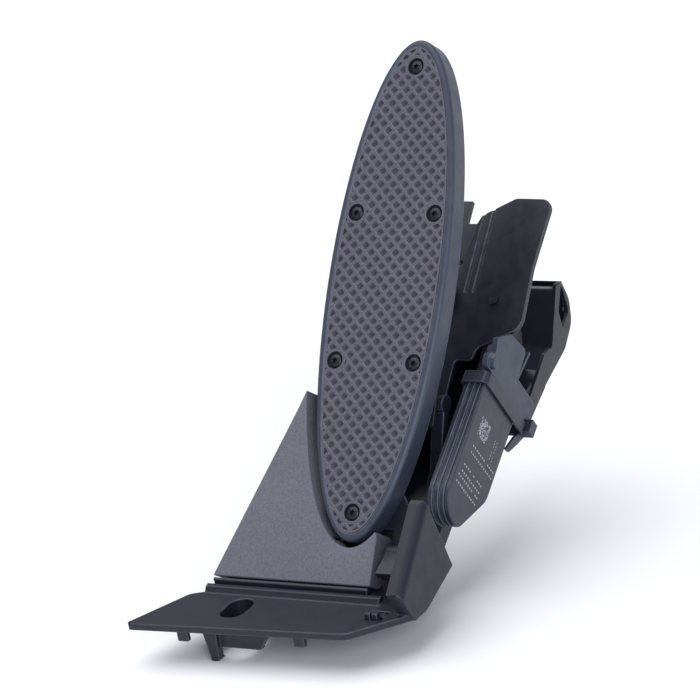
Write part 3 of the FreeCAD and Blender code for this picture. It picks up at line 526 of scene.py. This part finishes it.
# ---- rear housing and guard plate --------------------------------------------------------------
# The nylon housing closes the back of the module. The guard plate is a smooth satin moulding that
# lies over it and stands out to the right.
moulding("rear_housing", "rear_housing_moulding", "base", "glass_filled_nylon", charcoal_nylon, 0.4, split=True)
satin_guard = moulded_plastic("satin moulded polypropylene", "#1c1d26", "#9aa0aa", 1.2, 0.012, 0.36, edge_mm=0.6)
moulding("guard_plate", "guard_plate_moulding", "base", "guard_plastic", satin_guard, 0.4)
dress("guard_screws", black_oxide)
dress("housing_screws", zinc_plate)

# ---- angle sensor ------------------------------------------------------------------------------
# A flat box of smooth blue-grey polyamide with ribs round its edge, a soft seal, and a lid with
# plain laser-etched marks. The board and the magnet rotor are inside.
sensor_skin = moulded_plastic("smooth moulded polyamide", "#282c38", "#a3adbf", 0.9, 0.02, 0.34, edge_mm=0.6)
moulding("sensor_housing", "sensor_housing_moulding", "base", "sensor_plastic", sensor_skin, 0.25, split=True)
moulding("sensor_lid", "sensor_lid_moulding", "base", "sensor_plastic", sensor_skin, 0.3)
solder_mask = moulded_plastic("green solder mask on glass board", "#1f4a33", "#3f6b52", 0.5, 0.01, 0.30)
chip_resin = moulded_plastic("black moulded resin", "#1a1a1b", "#3a3a3c", 0.5, 0.01, 0.55)
sintered = drawn_metal("sintered magnet", "#4a4948", "#5c5b59", 0.45, 0.5, (1, 1, 1))
for node, finish in {"sensor_seal": buffer_rubber, "circuit_board": solder_mask, "sensor_chips": chip_resin,
                     "rotor_bush": acetal, "rotor_cup": acetal, "rotor_magnet": sintered,
                     "rotor_shaft": ground_steel, "slide_shoe": acetal}.items():
    dress(node, finish)
moulding("rotor_lever", "rotor_lever_moulding", "lever", "glass_filled_nylon", charcoal_nylon, 0.3, split=True)

etched, tree = new_material("laser-etched polyamide")
place = add(tree, "ShaderNodeTexCoord").outputs["Object"]
frost = add(tree, "ShaderNodeTexNoise", inputs={"Vector": place, "Scale": 1 / 0.0005, "Detail": 2.0})
tint = add(tree, "ShaderNodeMix", {"data_type": "RGBA"}, {0: frost.outputs["Fac"], 6: colour("#83878f"),
                                                         7: colour("#b0b3ba")})
bumps = add(tree, "ShaderNodeBump", inputs={"Height": frost.outputs["Fac"], "Distance": 0.00002,
                                            "Strength": 0.5})
surface = add(tree, "ShaderNodeBsdfPrincipled", inputs={"Base Color": tint.outputs[2], "Roughness": 0.75,
                                                        "IOR": 1.5, "Normal": bumps.outputs[0]})
add(tree, "ShaderNodeOutputMaterial", inputs={"Surface": surface.outputs[0]})
SENSOR_PLACE = (Matrix.Translation((0.045, 0.080, 0.035)) @ Matrix.Rotation(math.radians(33), 4, "X")
                @ Matrix.Rotation(math.radians(90), 4, "Y") @ Matrix.Rotation(math.radians(90), 4, "Z"))
tree, given = new_tree("etched marks", [("Columns", "Int"), ("Rows", "Int"), ("Column pitch", "Float"),
                                        ("Row pitch", "Float"), ("Mark", "Vector"), ("Bare share", "Float"),
                                        ("Seed", "Int")])
wide = add(tree, "ShaderNodeMath", {"operation": "MULTIPLY"}, {0: given["Columns"], 1: given["Column pitch"]})
tall = add(tree, "ShaderNodeMath", {"operation": "MULTIPLY"}, {0: given["Rows"], 1: given["Row pitch"]})
spots = add(tree, "GeometryNodeMeshGrid", inputs={"Size X": wide.outputs[0], "Size Y": tall.outputs[0],
                                                  "Vertices X": given["Columns"], "Vertices Y": given["Rows"]})
chance = add(tree, "FunctionNodeRandomValue", {"data_type": "FLOAT"}, {"Seed": given["Seed"]})
bare = add(tree, "ShaderNodeMath", {"operation": "LESS_THAN"}, {0: chance.outputs[1], 1: given["Bare share"]})
kept = add(tree, "GeometryNodeDeleteGeometry", inputs={"Geometry": spots.outputs["Mesh"],
                                                       "Selection": bare.outputs[0]})
mark = add(tree, "GeometryNodeMeshCube", inputs={"Size": given["Mark"]})
marks = add(tree, "GeometryNodeInstanceOnPoints", inputs={"Points": kept.outputs[0],
                                                          "Instance": mark.outputs["Mesh"]})
finish_tree(tree, marks.outputs[0], etched)
ETCH_T = 0.00004
ETCHINGS = [("square", 0.0245, 0.0085, 13, 13, 0.00070, 0.00070, 0.00066, 0.00066, 0.42),
            ("line_a", 0.0115, 0.0010, 2, 12, 0.0017, 0.00195, 0.00080, 0.00110, 0.15),
            ("line_b", 0.0000, 0.0050, 2, 10, 0.0018, 0.00195, 0.00090, 0.00110, 0.12),
            ("line_c", -0.0065, 0.0060, 2, 11, 0.0018, 0.00195, 0.00090, 0.00110, 0.12),
            ("line_d", 0.0215, -0.0050, 7, 2, 0.0014, 0.0011, 0.00090, 0.00042, 0.2)]
for seed, (label, s, t, columns, rows, step_s, step_t, mark_s, mark_t, bare_share) in enumerate(ETCHINGS):
    sizes = {"Columns": columns, "Rows": rows, "Column pitch": step_s, "Row pitch": step_t,
             "Mark": (mark_s, mark_t, ETCH_T), "Bare share": bare_share, "Seed": seed + 2}
    etching = grow("etched_" + label, tree, sizes, bpy.data.meshes.new("seed"),
                   SENSOR_PLACE @ Matrix.Translation((s, t, 0)))
    settle(etching, "base", "sensor_plastic", etched)

# ---- bracket, cable tie and hood ---------------------------------------------------------------
# A stepped blue-grey bracket holds the sensor's flat end, a nylon cable tie straps both, and a
# hood of the guard's plastic keeps splashes off the plug behind.
bracket_skin = moulded_plastic("blue-grey moulded polyamide", "#343a49", "#8d98ac", 0.9, 0.03, 0.42, edge_mm=0.5)
moulding("side_bracket", "side_bracket_moulding", "base", "bracket_plastic", bracket_skin, 0.15, split=True)
tie_nylon = moulded_plastic("black cable-tie nylon", "#262a35", "#7f8898", 0.7, 0.015, 0.36, edge_mm=0.4)
moulding("cable_tie", "cable_tie_moulding", "base", "tie_nylon", tie_nylon, 0.2, split=True)
moulding("cable_hood", "cable_hood_moulding", "base", "guard_plastic", satin_guard, 0.35, split=True)
moulding("connector_shroud", "connector_shroud_moulding", "base", "glass_filled_nylon", charcoal_nylon, 0.3,
         split=True)
tinned = drawn_metal("tinned brass", "#b3ad98", "#cbc7b8", 0.3, 0.4, (1, 1, 1))
dress("connector_pins", tinned)
